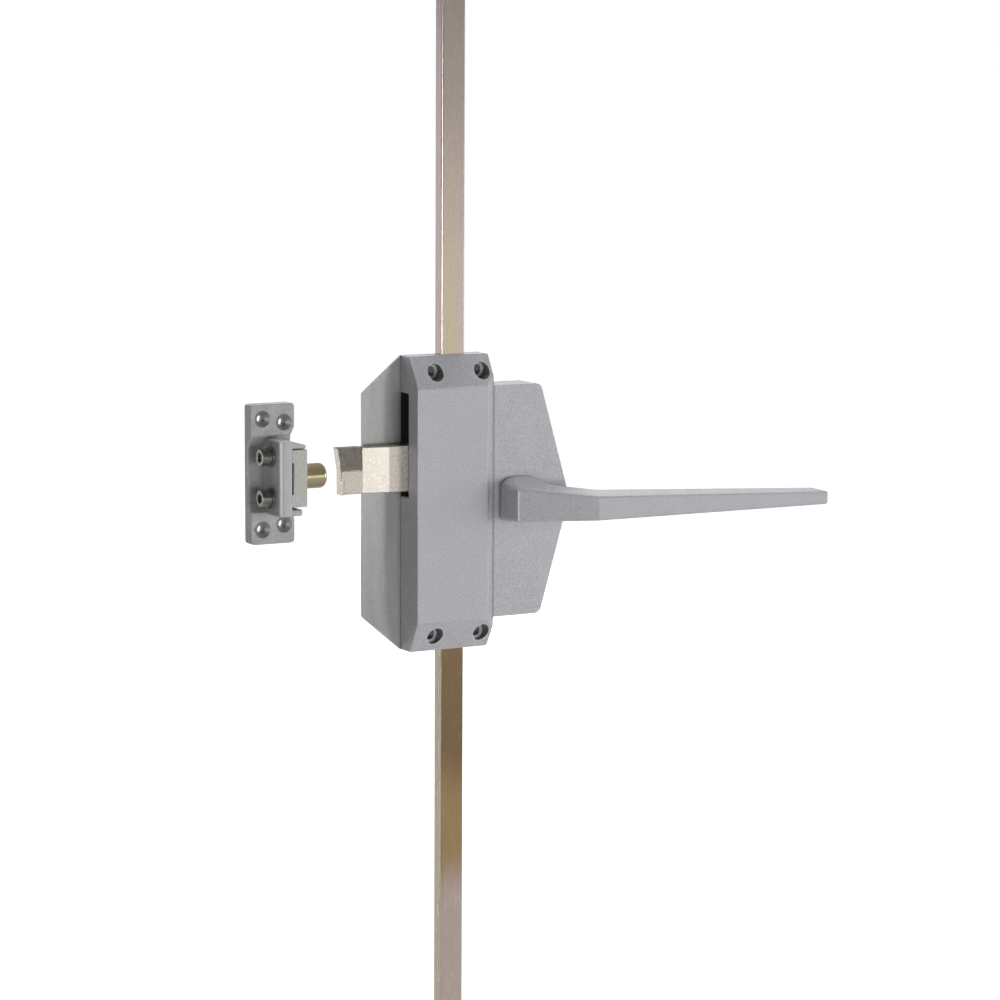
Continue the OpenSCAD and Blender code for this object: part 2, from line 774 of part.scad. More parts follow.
// Rack teeth that face right (side 1) or left (side -1), from one tooth number to another
module rack_teeth(line, side, first, last) {
    half = tooth_pitch / 4 - backlash / 4;
    slope = tan(pressure_angle);
    tip = half - addendum * slope;
    foot = half + dedendum * slope;
    for (k = [first:last]) translate([line, 0, k * tooth_pitch]) slab(gear_back, gear_front)
        polygon([[-side * (dedendum + 0.3), -foot], [-side * dedendum, -foot], [side * addendum, -tip],
                 [side * addendum, tip], [-side * dedendum, foot], [-side * (dedendum + 0.3), foot]]);
}

module lower_slider() {
    ear_right = spring_x + spring_d / 2;
    color([0.63, 0.6, 0.5]) difference() {
        union() {
            box([web_left, web_right], [gear_back, gear_front], [-foot_out, slider_top]);
            box([web_left, head_right], [gear_back, gear_front], [rack_head, slider_top]);
            rack_teeth(outer_rack_x, 1, -teeth_used, teeth_ahead);
            rack_teeth(inner_rack_x, -1, -teeth_used, teeth_ahead);
            box([-rod_w / 2, ear_right], [rod_front, gear_front], [-foot_out, -rod_in]);
            box([rod_w / 2 + slide_gap, ear_right], [spring_y - spring_d / 2, gear_front],
                [spring_low - ear_t, spring_low]);
        }
        for (z = rod_screw_z) screw_from_front(lower_screw_x, -z, rod_screw_d, 0, gear_front, fit);
        for (z = rivet_z) post(rivet_x, z, rivet_d + 2 * fit, 0, case_d);
    }
}

module upper_slider() {
    color([0.63, 0.6, 0.5]) difference() {
        union() {
            box([upper_left, upper_rack_x - dedendum], [gear_back, gear_front], [-upper_tail, foot_out]);
            rack_teeth(upper_rack_x, 1, -teeth_ahead, teeth_used);
            box([upper_left, foot_edge], [gear_back, gear_front], [rod_in, foot_out]);
            box([-rod_w / 2, foot_edge], [rod_front, gear_front], [rod_in, foot_out]);
        }
        for (z = rod_screw_z) screw_from_front(upper_screw_x, z, rod_screw_d, 0, gear_front, fit);
    }
}

// Flat bar with a bevelled tip and blind holes for its screws
module rod_shape(screw_x) {
    side = rod_w / 2;
    bevel = rod_tip * 0.6;
    difference() {
        intersection() {
            box([-side, side], [rod_back, rod_front], [rod_in, rod_reach]);
            slab(rod_back - 1, rod_front + 1)
                polygon([[-side, 0], [side, 0], [side, rod_reach - rod_tip], [side - bevel, rod_reach],
                         [bevel - side, rod_reach], [-side, rod_reach - rod_tip]]);
        }
        for (z = rod_screw_z) post(screw_x, z, rod_screw_d + 2 * fit, rod_front - 5, rod_front + 1);
    }
}

module rod_screws(screw_x) {
    for (z = rod_screw_z) screw_from_front(screw_x, z, rod_screw_d, rod_front - 4.5, gear_front, 0);
}

module upper_rod() {
    color([0.72, 0.66, 0.58]) rod_shape(upper_screw_x);
}

module lower_rod() {
    color([0.72, 0.66, 0.58]) mirror([0, 0, 1]) rod_shape(lower_screw_x);
}

module upper_rod_screws() {
    color([0.45, 0.45, 0.46]) rod_screws(upper_screw_x);
}

module lower_rod_screws() {
    color([0.45, 0.45, 0.46]) mirror([0, 0, 1]) rod_screws(lower_screw_x);
}

// The upper half of the latch's tip between two places along X, leaning towards the door
module leaning_half(x0, x1, low, high) {
    along_x(x0, x1) polygon([[-low, latch_z], [-high, latch_z], [tip_lean - high, latch_high],
                             [tip_lean - low, latch_high]]);
}

module hook_latch() {
    inner = upper_left - draft_gap;
    riser_left = inner - riser_t;
    lip_x = latch_end + lip_w;
    lip_top = tip_face + lip_h;
    joint_x = slant_x + draft_gap / 2;
    color([0.8, 0.78, 0.72]) difference() {
        union() {
            along_z(latch_low, latch_high)
                polygon([[inner, -latch_back], [inner, -latch_front], [root_x, -latch_front],
                         [slant_x, -tip_face], [slant_x, -latch_back]]);
            along_z(latch_low, latch_z)
                polygon([[joint_x, -tip_back], [joint_x, -tip_face], [lip_x, -tip_face],
                         [lip_x - lip_slope, -lip_top], [latch_end, -lip_top], [latch_end, -tip_back]]);
            leaning_half(lip_x, joint_x, tip_back, tip_face);
            leaning_half(latch_end, lip_x, tip_back, lip_top);
            box([riser_left, inner], [latch_back, arm_front], arm_z);
            box([riser_left, arm_right], [arm_back, arm_front], arm_z);
            box([web_left, arm_right], [gear_front, arm_front], arm_z);
        }
        for (z = rivet_z) post(rivet_x, z, rivet_d + 2 * fit, 0, case_d);
    }
}

module latch_rivets() {
    color([0.6, 0.6, 0.58]) for (z = rivet_z) {
        post(rivet_x, z, rivet_d, gear_back, arm_front);
        post(rivet_x, z, rivet_d + 2, arm_front, arm_front + front_gap / 2);
    }
}

module return_spring() {
    sides = 6;
    per_turn = 12;
    rings = spring_turns * per_turn;
    mid_r = (spring_d - spring_wire) / 2;
    wire_r = spring_wire / 2;
    points = [for (i = [0:rings], j = [0:sides - 1])
              let (a = 360 * i / per_turn, b = 360 * j / sides, r = mid_r + wire_r * cos(b))
              [r * cos(a), r * sin(a), spring_rise(i / per_turn) + wire_r * sin(b)]];
    skin = [for (i = [0:rings - 1], j = [0:sides - 1])
            let (a = i * sides + j, b = i * sides + (j + 1) % sides)
            each [[a, b, a + sides], [b, b + sides, a + sides]]];
    top = rings * sides;
    ends = [for (j = [1:sides - 2]) each [[0, j + 1, j], [top, top + j, top + j + 1]]];
    color([0.5, 0.5, 0.52]) translate([spring_x, -spring_y, spring_low + wire_r + fit])
        polyhedron(points, concat(skin, ends), convexity = 10);
}

// Cast strike: two flanges, a scooped middle and an upright bracket with two lips
module strike_plate() {
    low = strike_z - strike_h / 2;
    high = strike_z + strike_h / 2;
    scoop = bracket_len / 2 - 1;
    slot_h = [clamp_y - strike_travel, clamp_y + strike_travel];
    lip_left = wall_right - 1;
    color([0.56, 0.57, 0.58]) difference() {
        union() {
            slab(0, strike_floor) polygon(rounded([[plate_left, low], [plate_right, low], [plate_right, high],
                                                   [plate_left, high]], [for (i = [1:4]) strike_r]));
            for (s = [-1, 1]) slab(0, strike_t) polygon(rounded(
                [[plate_left, strike_z + s * (scoop + 1)], [plate_right - 2, strike_z + s * (scoop + 1)],
                 [plate_right, strike_z + s * (scoop + 5)], [plate_right, strike_z + s * strike_h / 2],
                 [plate_left, strike_z + s * strike_h / 2]], [0, 0, strike_r, strike_r, strike_r]));
            for (s = [-1, 1]) along_x(plate_left, wall_left)
                polygon([[-1, strike_z + s * (scoop + 1)], [-strike_t, strike_z + s * (scoop + 1)],
                         [-strike_floor, strike_z + s * (scoop - 4)], [-1, strike_z + s * (scoop - 4)]]);
            along_z(bracket_z[0], bracket_z[1])
                polygon(rounded([[wall_left, 0], [wall_left, -bracket_h], [wall_right, -bracket_h],
                                 [wall_right, 0]], [0, bar_r, bar_r / 4, 0]));
            slab(0, bracket_h - 1)
                polygon([[lip_left, block_z[1] + slide_gap], [plate_right, block_z[1] + slide_gap],
                         [plate_right, bracket_z[1] - cap_slope], [lip_left, bracket_z[1]]]);
            box([lip_left, plate_right - low_lip_short], [0, bracket_h - low_lip_short],
                [bracket_z[0], block_z[0] - low_lip_gap]);
        }
        for (s = [-1, 1]) {
            strike_hole(hole_left_x, strike_z + s * hole_pair_a / 2);
            strike_hole(hole_right_x, strike_z + s * hole_pair_b / 2);
        }
        for (z = clamp_z) {
            for (h = slot_h) bar_x(wall_left - 1, wall_right + 1, h, z, slot_w);
            box([wall_left - 1, wall_right + 1], slot_h, [z - slot_w / 2, z + slot_w / 2]);
        }
    }
}

module strike_hole(x, z) {
    post(x, z, strike_hole_d, -1, strike_t + 1);
    translate([x, -strike_t - eps, z]) rotate([-90, 0, 0])
        cylinder(d1 = strike_sink_d, d2 = strike_hole_d, h = (strike_sink_d - strike_hole_d) / 2);
}

// Steel block between the bracket's lips, with a relief groove against the wall
module strike_block() {
    groove = [clamp_z[0] + clamp_d / 2, clamp_z[1] - clamp_d / 2];
    ends = [block_x[0] - 1, block_x[1] + 1];
    color([0.68, 0.69, 0.65]) difference() {
        box(block_x, [block_back, bracket_h], block_z);
        box([block_x[0] - 1, block_x[0] + 0.8], [0, bracket_h + 1], groove);
        for (z = clamp_z) bar_x(ends[0], ends[1], clamp_y, z, clamp_d + 2 * fit);
        bar_x(ends[0], ends[1], pin_y, pin_z, pin_d * 0.6 + 2 * fit);
    }
}

module strike_pin() {
    stem = pin_d * 0.3;
    side = pin_d / 2;
    profile = [[0, 1 - block_t], [stem, 1 - block_t], [stem, 0], [side, 0], [side, pin_len], [0, pin_len]];
    color([0.72, 0.58, 0.3]) translate([block_x[1], -pin_y, pin_z]) rotate([0, 90, 0])
        rotate_extrude() polygon(rounded(profile, [0, 0, 0, 0, pin_d * 0.2, 0]));
}

module clamp_screws() {
    head = head_right_x - clamp_d;
    color([0.55, 0.55, 0.5]) for (z = clamp_z) difference() {
        union() {
            bar_x(head_right_x, block_x[1], clamp_y, z, clamp_d);
            bar_x(head, head_right_x, clamp_y, z, clamp_d * 5 / 3);
        }
        translate([head - 1, -clamp_y, z]) rotate([0, 90, 0])
            cylinder(d = clamp_d, h = 1 + clamp_d * 0.55, $fn = 6);
    }
}

module clamp_washers() {
    color([0.7, 0.7, 0.7]) for (z = clamp_z) difference() {
        bar_x(head_right_x, wall_left, clamp_y, z, washer_d);
        bar_x(head_right_x - 1, wall_left + 1, clamp_y, z, clamp_d + 2 * fit);
    }
}

case_cover();
base_plate();
cover_screws();
upper_rod_guide();
lower_rod_guide();
upper_guide();
lower_guide();
guide_screws();
pinion_pin();
pinion_clip();
front_bush();
rear_bush();
lever_handle();
neck_washer();
spindle();
grub_screw();
toothed_sector();
sector_clip();
reversing_pinion();
lower_slider();
lower_rod();
lower_rod_screws();
hook_latch();
latch_rivets();
upper_slider();
upper_rod();
upper_rod_screws();
return_spring();
strike_plate();
strike_block();
strike_pin();
clamp_screws();
clamp_washers();
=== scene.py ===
import json
import math

import bpy
import numpy as np
from mathutils import Matrix, Vector


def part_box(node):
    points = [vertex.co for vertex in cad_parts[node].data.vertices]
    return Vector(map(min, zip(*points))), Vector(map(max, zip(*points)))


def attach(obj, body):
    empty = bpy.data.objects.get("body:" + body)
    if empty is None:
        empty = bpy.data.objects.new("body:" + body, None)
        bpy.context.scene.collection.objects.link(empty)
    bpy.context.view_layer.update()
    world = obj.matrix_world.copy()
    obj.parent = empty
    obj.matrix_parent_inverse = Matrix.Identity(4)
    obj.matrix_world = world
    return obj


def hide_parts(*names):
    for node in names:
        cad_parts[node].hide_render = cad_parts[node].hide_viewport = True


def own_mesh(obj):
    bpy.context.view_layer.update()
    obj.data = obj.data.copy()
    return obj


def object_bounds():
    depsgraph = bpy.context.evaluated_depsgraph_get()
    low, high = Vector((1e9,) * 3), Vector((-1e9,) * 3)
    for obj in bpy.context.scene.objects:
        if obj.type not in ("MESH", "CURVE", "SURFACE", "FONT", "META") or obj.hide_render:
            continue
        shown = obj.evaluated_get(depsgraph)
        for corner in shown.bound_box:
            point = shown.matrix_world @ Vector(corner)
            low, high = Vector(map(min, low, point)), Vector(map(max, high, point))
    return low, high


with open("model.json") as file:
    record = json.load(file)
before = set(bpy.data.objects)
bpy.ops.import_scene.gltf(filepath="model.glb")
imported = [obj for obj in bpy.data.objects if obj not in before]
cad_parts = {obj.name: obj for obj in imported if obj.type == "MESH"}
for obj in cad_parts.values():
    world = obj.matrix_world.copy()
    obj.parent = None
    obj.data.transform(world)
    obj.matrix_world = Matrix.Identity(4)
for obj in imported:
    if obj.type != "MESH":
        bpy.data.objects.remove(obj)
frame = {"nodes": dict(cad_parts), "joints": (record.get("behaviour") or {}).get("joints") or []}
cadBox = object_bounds()
nodes = frame["nodes"]
mm = 0.001
print("frame loaded:", len(nodes), "nodes")

# Socket numbers: a Mix node's for colours, and the outputs of Texture Coordinate
mixFactor, mixFirst, mixSecond, mixResult = 0, 6, 7, 2
normalOut, objectOut = 1, 3


# Shader maths: a socket that grows Math nodes when it is used in an expression
class Wire:
    def __init__(self, tree, socket=None):
        self.tree = tree
        self.socket = socket

    # any node: its settings first, then the values or links of its sockets
    def node(self, kind, settings=None, sockets=None, out=0):
        made = self.tree.nodes.new("ShaderNode" + kind)
        for name, value in (settings or {}).items():
            if name == "stops":
                ramp = made.color_ramp.elements
                while len(ramp) < len(value):
                    ramp.new(0.5)
                for stop, (place, colour) in zip(ramp, value):
                    stop.position = place
                    stop.color = colour
            else:
                setattr(made, name, value)
        for name, value in (sockets or {}).items():
            if isinstance(value, Wire):
                self.tree.links.new(value.socket, made.inputs[name])
            else:
                made.inputs[name].default_value = value
        return Wire(self.tree, made.outputs[out] if len(made.outputs) else None)

    def math(self, operation, *values):
        return self.node("Math", {"operation": operation}, dict(enumerate(values)))

    def __add__(self, other):
        return self.math("ADD", self, other)

    def __sub__(self, other):
        return self.math("SUBTRACT", self, other)

    def __rsub__(self, other):
        return self.math("SUBTRACT", other, self)

    def __mul__(self, other):
        return self.math("MULTIPLY", self, other)

    __radd__ = __add__
    __rmul__ = __mul__

    def __abs__(self):
        return self.math("ABSOLUTE", self)

    # 1 below the limit, else 0
    def below(self, limit):
        return self.math("LESS_THAN", self, limit)

    # 0 below low, 1 above high, straight between
    def between(self, low, high):
        sockets = {"Value": self, "From Min": low, "From Max": high}
        return self.node("MapRange", {"clamp": True}, sockets)

    # a mix of two colours by this value
    def mix(self, colourA, colourB):
        sockets = {mixFactor: self, mixFirst: colourA, mixSecond: colourB}
        return self.node("Mix", {"data_type": "RGBA"}, sockets, out=mixResult)

    # this colour times another
    def tinted(self, colour):
        sockets = {mixFactor: 1.0, mixFirst: self, mixSecond: colour}
        return self.node("Mix", {"data_type": "RGBA", "blend_type": "MULTIPLY"}, sockets, out=mixResult)

    # one axis of this vector: 0 is x, 1 is y, 2 is z
    def axis(self, index):
        return self.node("SeparateXYZ", {}, {"Vector": self}, out=index)

    # one axis of the surface's own direction
    def facing(self, index):
        return self.node("TexCoord", out=normalOut).axis(index)


def rgb(r, g, b):
    return (r, g, b, 1.0)


def newObject(name, data):
    thing = bpy.data.objects.new(name, data)
    bpy.context.scene.collection.objects.link(thing)
    return thing


grainRough = 0.55


# Fine noise on Object coordinates, with a scale for each axis
def grain(place, scale, detail=2.0):
    scaled = place.node("Mapping", {"vector_type": "POINT"}, {"Vector": place, "Scale": scale})
    sockets = {"Vector": scaled, "Scale": 1.0, "Detail": detail, "Roughness": grainRough}
    return place.node("TexNoise", {"noise_dimensions": "3D"}, sockets)


def evenGrain(place, scale, detail=2.0):
    return grain(place, (scale, scale, scale), detail)


# Two patterns added up, the second by its share
def blended(first, second, share):
    return first * (1.0 - share) + second * share


# A base value plus a pattern by its swing
def varied(pair, pattern):
    base, swing = pair
    return base + swing * pattern


# The dark and the light tone of a look, by a pattern spread over its two limits
def twoTone(look, pattern):
    return pattern.between(*look["spread"]).mix(look["dark"], look["light"])


# 1 where two distances from a centre lie inside a circle
def inCircle(sideways, upwards, radius):
    return (sideways * sideways + upwards * upwards).below(radius ** 2)


# A material whose look comes from one function of the Object coordinates
def finish(name, look):
    made = bpy.data.materials.new(name)
    made.use_nodes = True
    tree = made.node_tree
    tree.nodes.clear()
    start = Wire(tree)
    place = start.node("TexCoord", out=objectOut)
    sockets = look(start, place)
    bump = sockets.pop("bump", None)
    if bump:
        height, depth, strength = bump
        bumpSockets = {"Height": height, "Distance": depth, "Strength": strength}
        sockets["Normal"] = start.node("Bump", {}, bumpSockets)
    shader = start.node("BsdfPrincipled", {}, sockets)
    start.node("OutputMaterial", {}, {"Surface": shader})
    return made


castPaintLook = {
    "light": rgb(0.63, 0.63, 0.66), "dark": rgb(0.44, 0.44, 0.47),
    "fleck": 1300.0, "fleckSpread": (0.36, 0.64), "cloud": 90.0, "cloudShare": 0.25,
    "peel": 520.0, "peelShare": 0.6,
    "rough": (0.34, 0.16), "metallic": 0.22, "bump": (0.0001, 0.2),
    # Painted shade for the walls of the fixing holes and painted light for their floors
    "holeWallShade": rgb(0.20, 0.20, 0.21), "seat": rgb(0.92, 0.92, 0.93), "seatSpread": (0.3, 0.5),
    "drillX": 0.013, "drillZ": 0.066, "drillR": 0.0046,
    # Painted shade line: a darker colour along the ridge's right edge
    "ridgeShade": rgb(0.34, 0.34, 0.36), "ridgeShadeX": 0.0188, "ridgeShadeHalf": 0.0004, "ridgeShadeZ": 0.06,
}


# Silver-grey powder coat: fine flecks and a faint orange peel, with a painted shade line along the ridge's
# right edge, painted shade on the walls of the fixing holes and painted light on their floors
def castPaint(start, place):
    look = castPaintLook
    fleck, cloud, peel = (evenGrain(place, look[k]) for k in ("fleck", "cloud", "peel"))
    tone = blended(fleck.between(*look["fleckSpread"]), cloud, look["cloudShare"])
    x, height = place.axis(0), abs(place.axis(2))
    # Painted shade line: the band beside the ridge's right edge is coloured darker, for the shadow at that
    # edge
    beside = abs(x - look["ridgeShadeX"]).between(look["ridgeShadeHalf"], 2 * look["ridgeShadeHalf"])
    edge = (1.0 - beside) * height.below(look["ridgeShadeZ"])
    paint = edge.mix(tone.mix(look["dark"], look["light"]), look["ridgeShade"])
    # Painted shade on the walls of the fixing holes, painted light on their floors
    drilled = inCircle(abs(x) - look["drillX"], height - look["drillZ"], look["drillR"])
    floors = abs(start.facing(1)).between(*look["seatSpread"])
    return {"Base Color": drilled.mix(paint, floors.mix(look["holeWallShade"], look["seat"])),
            "Roughness": varied(look["rough"], fleck),
            "Metallic": look["metallic"],
            "bump": (blended(fleck, peel, look["peelShare"]), *look["bump"])}


plateLook = {
    "light": rgb(0.58, 0.575, 0.57), "dark": rgb(0.44, 0.435, 0.435), "spread": (0.3, 0.7),
    "streak": (160.0, 160.0, 14.0), "spot": 420.0, "spotShare": 0.3,
    "rough": (0.10, 0.12), "metallic": 0.2, "bump": (0.00005, 0.12),
    # Painted shade: near black on the front face under the cover
    "underCoverShade": rgb(0.02, 0.02, 0.02), "underCoverRough": 0.5,
    "frontFacing": -0.5, "coverLeft": -0.0252, "blend": 0.0003,
}


# Smooth rolled steel with faint streaks along the door, coloured near black under the cover as painted shade
def plateSteel(start, place):
    look = plateLook
    streak = grain(place, look["streak"], detail=4.0)
    spot = evenGrain(place, look["spot"])
    # Painted shade: the front face under the cover is coloured near black
    front = start.facing(1).below(look["frontFacing"])
    edge, blend = look["coverLeft"], look["blend"]
    inside = front * place.axis(0).between(edge - blend, edge + blend)
    steel = twoTone(look, blended(streak, spot, look["spotShare"]))
    return {"Base Color": inside.mix(steel, look["underCoverShade"]),
            "Roughness": varied(look["rough"], streak) + inside * look["underCoverRough"],
            "Metallic": look["metallic"],
            "bump": (spot, *look["bump"])}


# Colours of the passivate, and their places along the bars from the lower tip to the upper one
rodColours = {"pink": rgb(0.60, 0.49, 0.44), "dull": rgb(0.46, 0.39, 0.35), "ochre": rgb(0.43, 0.29, 0.14),
              "brown": rgb(0.26, 0.17, 0.085)}
rodLook = {
    "reach": 0.275,
    "bands": [(0.0, "pink"), (0.13, "pink"), (0.17, "ochre"), (0.22, "ochre"), (0.27, "brown"),
              (0.37, "brown"), (0.42, "pink"), (0.72, "pink"), (0.86, "dull")],
    "drift": (60.0, 60.0, 16.0), "bandDrift": 0.05, "goldDrift": 0.006,
    "gold": rgb(1.0, 1.05, 0.76), "goldX": -0.0022, "goldHalf": 0.0055,
    "goldRise": (0.0, 0.02), "goldFade": (0.09, 0.19),
    # Painted light and shade: colours of the narrow sides, high and low
    "paintedSideHigh": rgb(0.57, 0.46, 0.45), "paintedSideLow": rgb(0.76, 0.69, 0.57), "paintedSideSpread": (-0.05, 0.05),
    "paintedSideFacing": (0.5, 0.9),
    "drawn": (900.0, 900.0, 60.0), "spread": (0.2, 0.8),
    "light": rgb(1.03, 1.02, 1.0), "dark": rgb(0.95, 0.95, 0.96),
    "rough": (0.20, 0.12), "metallic": 0.5, "bump": (0.00003, 0.03),
}


# Yellow zinc passivate: pink and gold bands that drift along the bar, with the narrow sides coloured by their
# facing as painted light and shade
def rodZinc(start, place):
    look = rodLook
    height = place.axis(2)
    drift = grain(place, look["drift"], detail=3.0)
    drawn = grain(place, look["drawn"], detail=3.0)
    along = (height + look["reach"]) * (0.5 / look["reach"]) + (drift - 0.5) * look["bandDrift"]
    stops = [(share, rodColours[colour]) for share, colour in look["bands"]]
    band = start.node("ValToRGB", {"stops": stops}, {"Fac": along})
    aside = abs(place.axis(0) + (drift - 0.5) * look["goldDrift"] - look["goldX"])
    stripe = 1.0 - aside.between(0.0, look["goldHalf"])
    near = height.between(*look["goldRise"]) - height.between(*look["goldFade"])
    front = band.tinted((stripe * near).mix(rgb(1, 1, 1), look["gold"]))
    # Painted light and shade: the narrow sides take their own colour by their facing, lighter low down
    edge = height.between(*look["paintedSideSpread"]).mix(look["paintedSideLow"], look["paintedSideHigh"])
    paintedSides = abs(start.facing(0)).between(*look["paintedSideFacing"]).mix(front, edge)
    return {"Base Color": paintedSides.tinted(twoTone(look, drawn)),
            "Roughness": varied(look["rough"], drawn),
            "Metallic": look["metallic"],
            "bump": (drawn, *look["bump"])}


latchLook = {"light": rgb(0.74, 0.69, 0.62), "dark": rgb(0.58, 0.53, 0.46), "spread": (0.3, 0.7),
             "pit": 700.0, "rough": (0.22, 0.16), "metallic": 0.8, "bump": (0.00008, 0.2)}


# Bright nickel over a sintered surface
def latchNickel(start, place):
    look = latchLook
    pit = evenGrain(place, look["pit"], detail=3.0)
    return {"Base Color": twoTone(look, pit),
            "Roughness": varied(look["rough"], pit),
            "Metallic": look["metallic"],
            "bump": (pit, *look["bump"])}


strikeLook = {
    "light": rgb(0.55, 0.55, 0.565), "dark": rgb(0.40, 0.40, 0.415), "spread": (0.35, 0.65),
    "cloud": 160.0, "pit": 900.0, "pitShare": 0.5,
    "rough": (0.44, 0.16), "metallic": 0.28, "bump": (0.00012, 0.3),
    # Painted light along the bar
    "barLight": rgb(0.57, 0.57, 0.585), "barLightDepth": (0.0185, 0.0215),
    # Painted shade in the countersinks
    "sinkShade": rgb(0.30, 0.30, 0.315), "sinkR": 0.0042, "sinkFrom": 0.004,
    "holeZ": 0.0195, "pairs": [(-0.10366, 0.027), (-0.09226, 0.025)],
}


# Tumbled casting under a dull plate, with painted light along the bar and painted shade in the countersinks
def strikeCast(start, place):
    look = strikeLook
    cloud = evenGrain(place, look["cloud"], detail=3.0)
    pit = evenGrain(place, look["pit"])
    x, depth = place.axis(0), place.axis(1) * -1.0
    colour = twoTone(look, blended(cloud, pit, look["pitShare"]))
    # Painted light: lighter along the bar's front
    colour = depth.between(*look["barLightDepth"]).mix(colour, look["barLight"])
    front = place.axis(1).below(-look["sinkFrom"])
    height = abs(place.axis(2) - look["holeZ"])
    # Painted shade: darker in the countersinks
    for holeX, holeHalf in look["pairs"]:
        sinkShade = inCircle(x - holeX, height - holeHalf, look["sinkR"]) * front
        colour = sinkShade.mix(colour, look["sinkShade"])
    return {"Base Color": colour,
            "Roughness": varied(look["rough"], cloud),
            "Metallic": look["metallic"],
            "bump": (pit, *look["bump"])}


pinLook = {"light": rgb(0.76, 0.63, 0.38), "dark": rgb(0.68, 0.56, 0.33), "spread": (0.3, 0.7),
           # The underside colour is painted shade
           "ring": (1400.0, 60.0, 60.0), "under": rgb(0.34, 0.28, 0.17), "underSpread": (-0.1, 0.7),
           "rough": (0.10, 0.12), "metallic": 0.75, "bump": (0.00003, 0.1)}


# Turned brass, darker on its underside as painted shade
def pinBrass(start, place):
    look = pinLook
    ring = grain(place, look["ring"])
    # Painted shade: darker where the surface faces down
    under = (start.facing(2) * -1.0).between(*look["underSpread"])
    return {"Base Color": under.mix(twoTone(look, ring), look["under"]),
            "Roughness": varied(look["rough"], ring),
            "Metallic": look["metallic"],
            "bump": (ring, *look["bump"])}


plainLook = {"spread": (0.3, 0.7), "pit": 700.0, "roughSwing": 0.12, "bump": (0.00005, 0.15)}


# A plain plated or moulded finish: two tones, a fine grain and a gloss
def plainFinish(light, dark, metallic, rough):
    look = dict(plainLook, light=rgb(*light), dark=rgb(*dark))

    def plain(start, place):
        pit = evenGrain(place, look["pit"])
        return {"Base Color": twoTone(look, pit),
                "Roughness": varied((rough, look["roughSwing"]), pit),
                "Metallic": metallic,
                "bump": (pit, *look["bump"])}
    return plain


finishes = {
    "castPaint": castPaint, "plateSteel": plateSteel, "rodZinc": rodZinc, "latchNickel": latchNickel,
    "strikeCast": strikeCast, "pinBrass": pinBrass,
    "blockZinc": plainFinish((0.58, 0.59, 0.55), (0.50, 0.51, 0.47), 0.35, 0.36),
    "screwZinc": plainFinish((0.32, 0.315, 0.29), (0.19, 0.185, 0.165), 0.9, 0.26),
    "gearSteel": plainFinish((0.50, 0.48, 0.42), (0.38, 0.37, 0.33), 1.0, 0.38),
    "blackSteel": plainFinish((0.10, 0.10, 0.11), (0.06, 0.06, 0.07), 0.9, 0.42),
    "bushBronze": plainFinish((0.62, 0.42, 0.22), (0.50, 0.33, 0.17), 1.0, 0.34),
    "guideNylon": plainFinish((0.05, 0.05, 0.05), (0.035, 0.035, 0.037), 0.0, 0.48),
    "washerNylon": plainFinish((0.05, 0.05, 0.055), (0.035, 0.035, 0.04), 0.0, 0.5),
}
materials = {name: finish(name, look) for name, look in finishes.items()}
print("finishes made:", len(materials))

finishOf = {
    "case_cover": "castPaint", "lever_handle": "castPaint", "base_plate": "plateSteel",
    "upper_rod": "rodZinc", "lower_rod": "rodZinc", "hook_latch": "latchNickel", "strike_plate": "strikeCast",
    "strike_block": "blockZinc", "strike_pin": "pinBrass", "clamp_screws": "screwZinc",
    "clamp_washers": "screwZinc", "cover_screws": "screwZinc", "guide_screws": "screwZinc",
    "upper_rod_screws": "screwZinc", "lower_rod_screws": "screwZinc", "latch_rivets": "screwZinc",
    "upper_rod_guide": "guideNylon", "lower_rod_guide": "guideNylon", "upper_guide": "guideNylon",
    "lower_guide": "guideNylon", "pinion_pin": "gearSteel", "spindle": "gearSteel",
    "toothed_sector": "gearSteel", "reversing_pinion": "gearSteel", "lower_slider": "gearSteel",
    "upper_slider": "gearSteel", "return_spring": "gearSteel", "pinion_clip": "blackSteel",
    "sector_clip": "blackSteel", "grub_screw": "blackSteel", "front_bush": "bushBronze",
    "rear_bush": "bushBronze", "neck_washer": "washerNylon",
}
for name, node in nodes.items():
    node.data.materials.clear()
    node.data.materials.append(materials[finishOf[name]])

# Edge rounding of each piece in millimetres, of the edges that turn by more than a limit in degrees. A quiet
# box, its middle and half sizes in millimetres on mirrored coordinates, keeps the edges inside it sharp:
# screw recesses, rod openings and hidden ends
edgeRound = {
    "case_cover": {"width": 0.7, "limit": 24,
                   "quiet": [((13, 15, 66), (6, 12, 6)), ((0, 6, 74), (9, 8, 3)), ((20, 0, 0), (100, 4, 100)),
                             ((0, 8, 0), (23, 9, 60)), ((30, 11, 29.5), (7, 3, 3))]},
    "base_plate": {"width": 0.2, "limit": 24, "quiet": [((18, 0, 0), (36, 9, 100))]},
    "strike_plate": {"width": 0.7, "limit": 24,
                     "quiet": [((97, 12.2, 18.4), (7, 6, 13)), ((98, 5, 45.5), (8, 4, 5.3)),
                               ((98, 5, 6.5), (8, 4, 5.2))]},
    "strike_block": {"width": 0.4, "limit": 24, "quiet": [((90, 12.3, 18.4), (10, 3.4, 12))]},
    "hook_latch": {"width": 0.4, "limit": 8, "quiet": [((0, 10, 20), (24, 20, 30))]},
    "upper_rod": {"width": 1.0, "limit": 24, "quiet": [((0, 0, 0), (20, 20, 70))]},
    "lower_rod": {"width": 1.0, "limit": 24, "quiet": [((0, 0, 0), (20, 20, 70))]},
    "clamp_screws": {"width": 0.3, "limit": 24, "quiet": []},
    "clamp_washers": {"width": 0.15, "limit": 24, "quiet": []},
}
roundLook = {"weldReach": 0.000005, "flatAngle": 0.5, "segments": 3}


